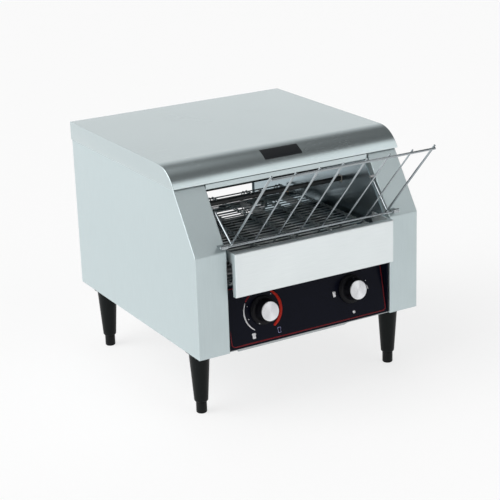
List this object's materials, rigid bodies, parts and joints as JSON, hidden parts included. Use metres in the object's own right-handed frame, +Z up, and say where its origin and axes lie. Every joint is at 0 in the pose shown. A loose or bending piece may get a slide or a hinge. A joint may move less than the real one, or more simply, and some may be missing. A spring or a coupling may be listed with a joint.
{
  "type": "conveyor toaster",
  "caption": "Counter-top conveyor toaster: bright steel cabinet on black legs, wire belt tunnel with heating elements, tilting wire feed rack, two dials and a pull-out crumb tray.",
  "frame": {"origin": "on the counter, midway between the four feet", "axes": "+X to the machine's right as seen from the front, +Y to the back, +Z up"},
  "size_m": [0.404, 0.5668, 0.4144],
  "materials": {
    "cabinet_steel": "bright satin sheet",
    "inner_steel": "satin sheet",
    "panel_black": "smooth semi-gloss",
    "element_sheath": "dull heat-darkened",
    "ceramic": "matt ceramic",
    "belt_wire": "satin wire",
    "rack_wire": "bright plated",
    "shaft_steel": "machined",
    "chain_steel": "oiled",
    "bush_bronze": "sintered",
    "motor_paint": "satin",
    "board_plastic": "matt",
    "switch_plastic": "matt",
    "knob_black": "satin gloss",
    "knob_metal": "spun",
    "leg_black": "satin gloss",
    "foot_rubber": "matt",
    "fastener_steel": "bright"
  },
  "bodies": {
    "cabinet": {"back_panel": "cabinet_steel", "back_panel_screws": "fastener_steel", "base_plate": "cabinet_steel", "belt_carrier": "inner_steel", "cable_gland": "switch_plastic", "control_panel": "panel_black", "conveyor_belt": "belt_wire", "deflector_screws": "fastener_steel", "drive_chain": "chain_steel", "element_insulators": "ceramic", "front_deflector": "cabinet_steel", "gearmotor": "motor_paint", "header_strip": "cabinet_steel", "heat_shield": "inner_steel", "left_inner_wall": "inner_steel", "left_side_panel": "cabinet_steel", "left_tray_rail": "inner_steel", "leg_back_left": "leg_black", "leg_back_right": "leg_black", "leg_bolts": "fastener_steel", "leg_front_left": "leg_black", "leg_front_right": "leg_black", "lid_screws": "fastener_steel", "lower_elements": "element_sheath", "motor_bracket": "inner_steel", "rack_pivots": "inner_steel", "rack_stops": "inner_steel", "right_inner_wall": "inner_steel", "right_side_panel": "cabinet_steel", "right_tray_rail": "inner_steel", "selector_switch": "switch_plastic", "shaft_bushes": "bush_bronze", "speed_control": "board_plastic", "terminal_block": "switch_plastic", "toast_chute": "inner_steel", "top_cover": "cabinet_steel", "top_reflector": "inner_steel", "upper_elements": "element_sheath"},
    "front_drive": {"front_shaft": "shaft_steel", "front_sprockets": "shaft_steel", "driven_sprocket": "shaft_steel"},
    "rear_idler": {"rear_shaft": "shaft_steel", "rear_sprockets": "shaft_steel"},
    "motor_output": {"motor_sprocket": "shaft_steel"},
    "speed_dial": {"speed_knob": "knob_black", "speed_knob_cap": "knob_metal", "speed_spindle": "shaft_steel"},
    "selector_dial": {"selector_knob": "knob_black", "selector_knob_cap": "knob_metal", "selector_spindle": "shaft_steel"},
    "rack": {"feed_rack": "rack_wire"},
    "tray": {"crumb_tray": "inner_steel"},
    "front_left_foot": {"foot_front_left": "foot_rubber"},
    "front_right_foot": {"foot_front_right": "foot_rubber"},
    "back_left_foot": {"foot_back_left": "foot_rubber"},
    "back_right_foot": {"foot_back_right": "foot_rubber"}
  },
  "joints": [
    {"name": "front_shaft_turn", "type": "hinge", "parent": "cabinet", "child": "front_drive", "pos_m": [0, -0.192, 0.23008], "axis": [1, 0, 0], "continuous": true},
    {"name": "rear_shaft_turn", "type": "hinge", "parent": "cabinet", "child": "rear_idler", "pos_m": [0, 0.096, 0.23008], "axis": [1, 0, 0], "continuous": true},
    {"name": "motor_output_turn", "type": "hinge", "parent": "cabinet", "child": "motor_output", "pos_m": [0.154, -0.142, 0.1528], "axis": [1, 0, 0], "continuous": true},
    {"name": "speed_dial_turn", "type": "hinge", "parent": "cabinet", "child": "speed_dial", "pos_m": [-0.0805, -0.19942, 0.159], "axis": [0, -0.9781, 0.2079], "range_deg": [0, 300]},
    {"name": "selector_dial_turn", "type": "hinge", "parent": "cabinet", "child": "selector_dial", "pos_m": [0.0805, -0.19942, 0.159], "axis": [0, -0.9781, 0.2079], "range_deg": [0, 270]},
    {"name": "rack_fold", "type": "hinge", "parent": "cabinet", "child": "rack", "pos_m": [0, -0.2185, 0.279], "axis": [-1, 0, 0], "range_deg": [0, 40]},
    {"name": "tray_slide", "type": "slide", "parent": "cabinet", "child": "tray", "axis": [0, -1, 0], "range_m": [0, 0.2]},
    {"name": "front_left_foot_screw", "type": "slide", "parent": "cabinet", "child": "front_left_foot", "axis": [0, 0, -1], "range_m": [0, 0.012]},
    {"name": "front_right_foot_screw", "type": "slide", "parent": "cabinet", "child": "front_right_foot", "axis": [0, 0, -1], "range_m": [0, 0.012]},
    {"name": "back_left_foot_screw", "type": "slide", "parent": "cabinet", "child": "back_left_foot", "axis": [0, 0, -1], "range_m": [0, 0.012]},
    {"name": "back_right_foot_screw", "type": "slide", "parent": "cabinet", "child": "back_right_foot", "axis": [0, 0, -1], "range_m": [0, 0.012]}
  ],
  "couplings": [
    {"joint": "rear_shaft_turn", "follows": "front_shaft_turn", "ratio": 1},
    {"joint": "motor_output_turn", "follows": "front_shaft_turn", "ratio": 1.5}
  ]
}
